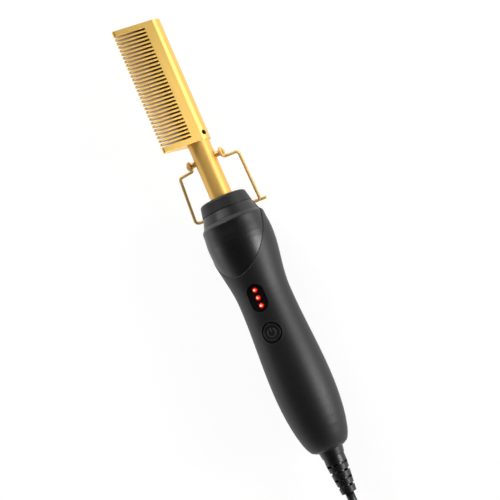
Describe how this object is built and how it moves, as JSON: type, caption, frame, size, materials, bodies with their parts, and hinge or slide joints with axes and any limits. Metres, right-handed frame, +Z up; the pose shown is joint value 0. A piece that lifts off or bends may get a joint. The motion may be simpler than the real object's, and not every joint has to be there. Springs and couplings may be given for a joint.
{
  "type": "electric hot comb",
  "caption": "Electric hot comb with a gold comb head on a heater tube, a swinging wire stand, a black handle with a power button and lights, and a swivelling cord.",
  "frame": {"origin": "on the surface the comb lies on, under the middle of its bounding box without the cord", "axes": "+Y along the handle towards the comb's tip, +Z up with the button on top, +X to the right seen from above with the tip away from the viewer"},
  "size_m": [0.0503, 0.5835, 0.0417],
  "materials": {
    "comb_gold": "polished and anodised gold",
    "tube_gold": "lengthwise brushed gold",
    "wire_gold": "drawn wire, gold plated",
    "dark_steel": "blackened set screw",
    "steel": "plain",
    "ceramic": "fired ceramic, matt",
    "handle_black": "satin moulded plastic",
    "button_black": "satin moulded plastic",
    "window_black": "smoked gloss",
    "light_red": "lit red lens",
    "white_plastic": "moulded",
    "board_green": "printed board",
    "capacitor_orange": "dipped",
    "lead_white": "silicone insulation",
    "lead_brown": "insulation",
    "relief_black": "satin moulded",
    "cord_black": "satin sheath",
    "tie_grey": "soft band",
    "plug_black": "moulded",
    "blade_nickel": "nickel plated"
  },
  "bodies": {
    "handle": {"comb_head": "comb_gold", "comb_screw": "dark_steel", "heater_tube": "tube_gold", "heater_core": "ceramic", "heat_bush": "ceramic", "bush_pin": "steel", "stand_studs": "tube_gold", "front_collar": "handle_black", "front_sleeve": "handle_black", "upper_shell": "handle_black", "lower_shell": "handle_black", "shell_screws": "steel", "power_switch": "steel", "circuit_board": "board_green", "board_screws": "steel", "status_window": "window_black", "status_lights": "light_red", "dropper_capacitor": "capacitor_orange", "thermal_fuse": "steel", "heater_leads": "lead_white", "supply_leads": "lead_brown", "contact_block": "ceramic", "tail_ring": "handle_black", "cord_lead": "cord_black", "cord_hank": "cord_black", "cord_end": "cord_black", "cord_tie": "tie_grey", "plug_body": "plug_black", "plug_blades": "blade_nickel"},
    "stand": {"wire_stand": "wire_gold"},
    "button": {"power_button": "button_black", "switch_plunger": "white_plastic"},
    "swivel": {"cord_relief": "relief_black", "swivel_spindle": "tube_gold"}
  },
  "joints": [
    {"name": "stand_swing", "type": "hinge", "parent": "handle", "child": "stand", "pos_m": [0.00354, 0.0635, 0.021], "axis": [1, 0, 0], "range_deg": [-3, 130]},
    {"name": "button_press", "type": "slide", "parent": "handle", "child": "button", "axis": [0, 0, -1], "range_m": [0, 0.0006], "stiffness_N_per_m": 1500, "springref_m": -0.0005},
    {"name": "cord_swivel", "type": "hinge", "parent": "handle", "child": "swivel", "pos_m": [0.00354, -0.132, 0.021], "axis": [0, 1, 0], "continuous": true}
  ]
}
